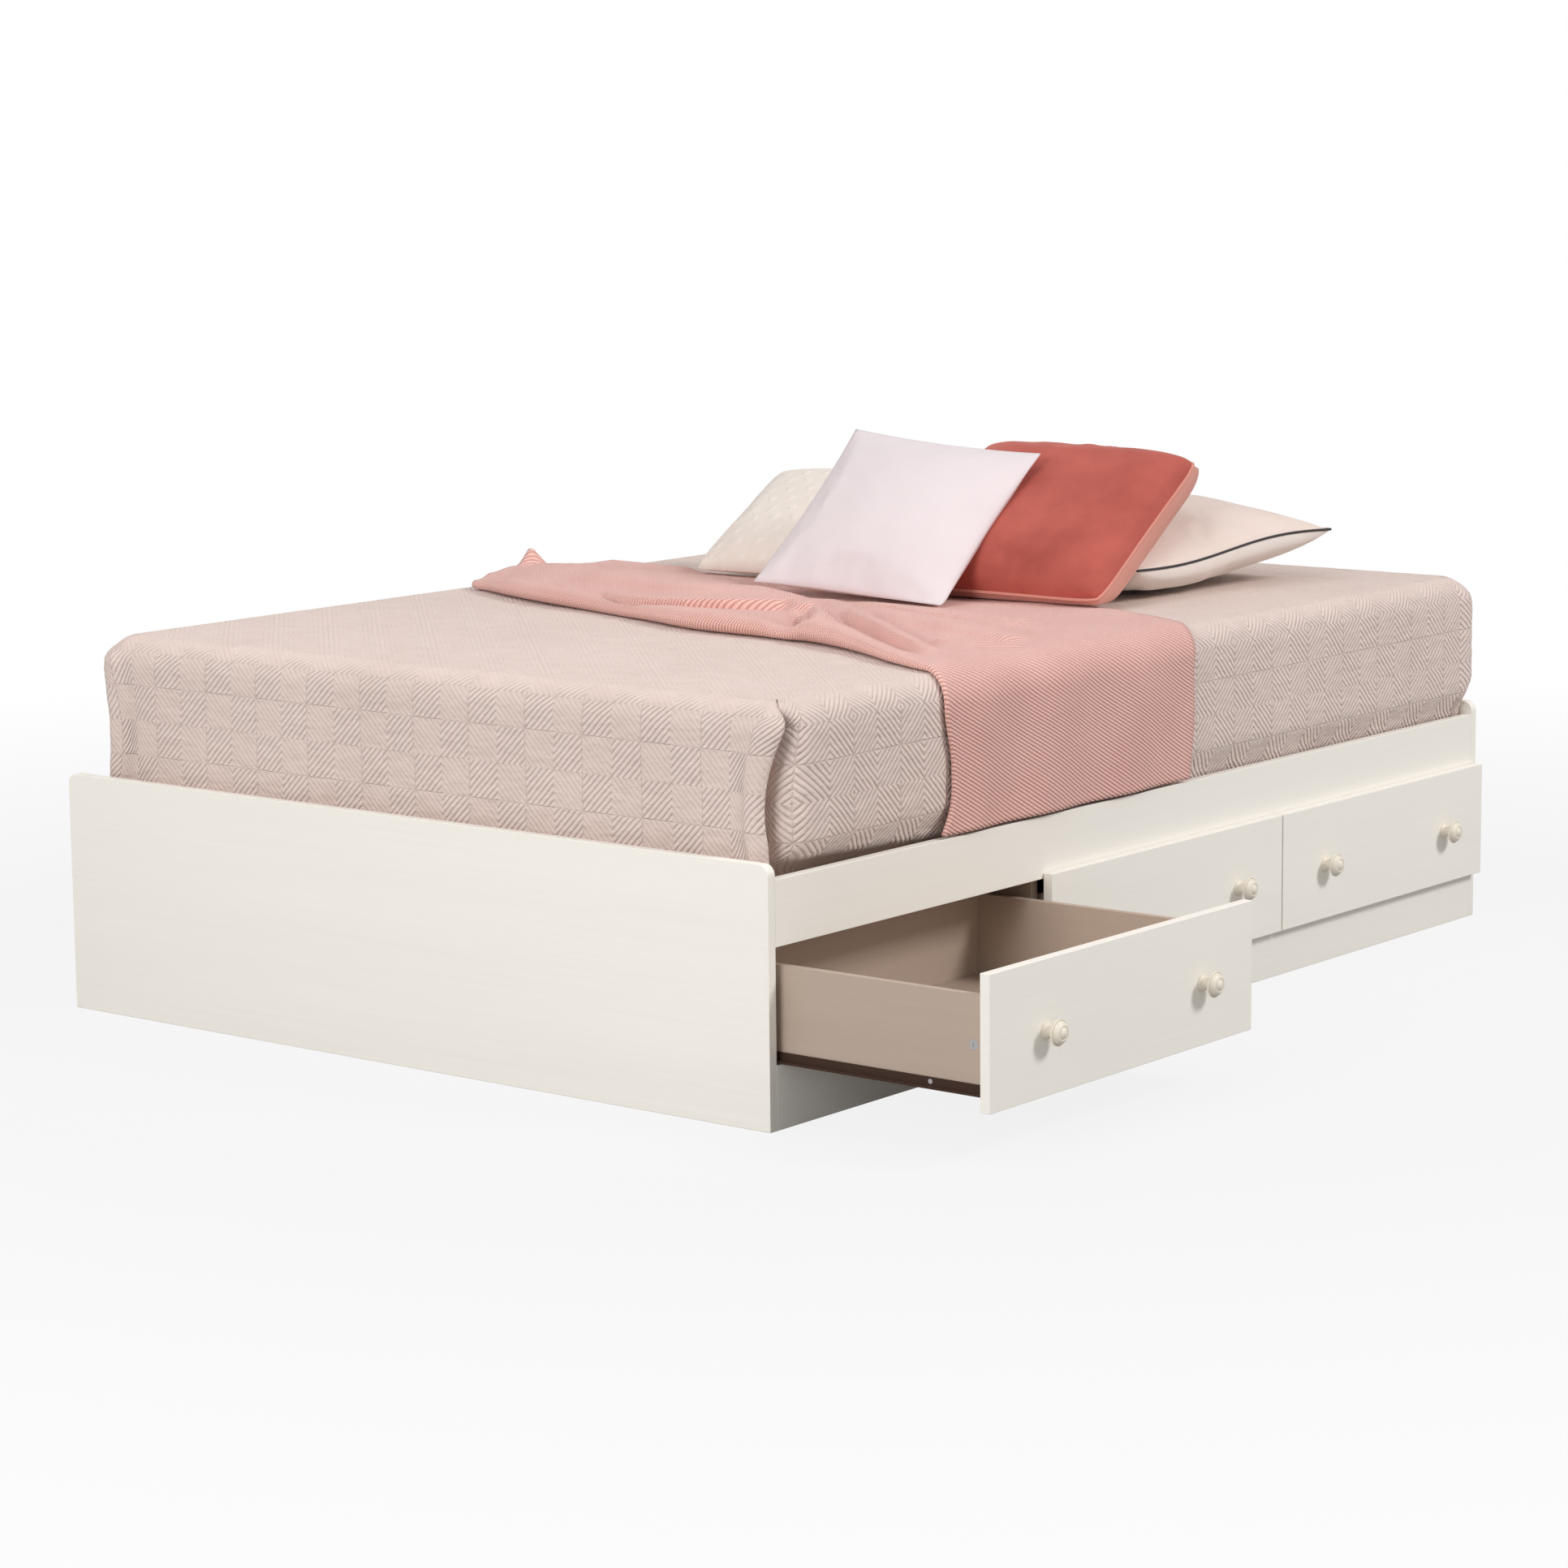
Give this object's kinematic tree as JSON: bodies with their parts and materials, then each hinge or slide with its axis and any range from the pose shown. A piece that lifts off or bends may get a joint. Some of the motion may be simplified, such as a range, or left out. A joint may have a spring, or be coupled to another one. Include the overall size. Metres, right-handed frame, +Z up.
{
  "type": "platform bed with storage drawers",
  "caption": "Low platform bed with sliding storage drawers along one side, made up with mattress, quilt, throw and cushions.",
  "frame": {"origin": "on the floor, at the middle of the bed frame's footprint", "axes": "+X across the bed towards the drawers, +Y from foot to head, +Z up"},
  "size_m": [1.812, 1.974, 0.8535],
  "materials": {
    "whitewash": "satin printed laminate with a faint grain",
    "inner_board": "matt laminate",
    "taupe_laminate": "smooth matt laminate",
    "bare_wood": "planed",
    "runner_polymer": "moulded, matt",
    "knob_paint": "turned and painted, satin",
    "steel": "zinc plated",
    "zinc": "die cast zinc",
    "ticking": "woven ticking",
    "quilt_cotton": "stitched cotton quilt",
    "pink_knit": "chunky knit",
    "lilac_cotton": "plain cotton",
    "coral_velvet": "velvet",
    "cream_weave": "textured weave",
    "pillow_cotton": "cotton with dark piping"
  },
  "bodies": {
    "bed_frame": {"bay_back_panel": "inner_board", "bay_divider_foot": "inner_board", "bay_divider_head": "inner_board", "bay_runner_screws": "steel", "bay_runners": "runner_polymer", "coral_cushion": "coral_velvet", "cream_cushion": "cream_weave", "cross_braces": "inner_board", "deck_boards": "inner_board", "deck_ledgers": "bare_wood", "divider_screws": "steel", "drawer_side_plinth": "whitewash", "drawer_side_rail": "whitewash", "far_side_panel": "whitewash", "foot_panel": "whitewash", "frame_cam_bolts": "steel", "frame_cam_locks": "zinc", "frame_dowels": "bare_wood", "head_panel": "whitewash", "ledger_screws": "steel", "lilac_cushion": "lilac_cotton", "mattress": "ticking", "piped_pillow": "pillow_cotton", "quilt": "quilt_cotton", "throw": "pink_knit"},
    "foot_drawer": {"foot_drawer_back": "taupe_laminate", "foot_drawer_bottom": "taupe_laminate", "foot_drawer_cam_bolts": "steel", "foot_drawer_cams": "zinc", "foot_drawer_front": "whitewash", "foot_drawer_knob_screws": "steel", "foot_drawer_knobs": "knob_paint", "foot_drawer_left_side": "taupe_laminate", "foot_drawer_right_side": "taupe_laminate", "foot_drawer_runner_screws": "steel", "foot_drawer_runners": "runner_polymer"},
    "middle_drawer": {"middle_drawer_back": "taupe_laminate", "middle_drawer_bottom": "taupe_laminate", "middle_drawer_cam_bolts": "steel", "middle_drawer_cams": "zinc", "middle_drawer_front": "whitewash", "middle_drawer_knob_screws": "steel", "middle_drawer_knobs": "knob_paint", "middle_drawer_left_side": "taupe_laminate", "middle_drawer_right_side": "taupe_laminate", "middle_drawer_runner_screws": "steel", "middle_drawer_runners": "runner_polymer"},
    "head_drawer": {"head_drawer_back": "taupe_laminate", "head_drawer_bottom": "taupe_laminate", "head_drawer_cam_bolts": "steel", "head_drawer_cams": "zinc", "head_drawer_front": "whitewash", "head_drawer_knob_screws": "steel", "head_drawer_knobs": "knob_paint", "head_drawer_left_side": "taupe_laminate", "head_drawer_right_side": "taupe_laminate", "head_drawer_runner_screws": "steel", "head_drawer_runners": "runner_polymer"}
  },
  "joints": [
    {"name": "foot_drawer_slide", "type": "slide", "parent": "bed_frame", "child": "foot_drawer", "axis": [1, 0, 0], "range_m": [-0.352, 0.048]},
    {"name": "middle_drawer_slide", "type": "slide", "parent": "bed_frame", "child": "middle_drawer", "axis": [1, 0, 0], "range_m": [0, 0.4]},
    {"name": "head_drawer_slide", "type": "slide", "parent": "bed_frame", "child": "head_drawer", "axis": [1, 0, 0], "range_m": [0, 0.4]}
  ]
}
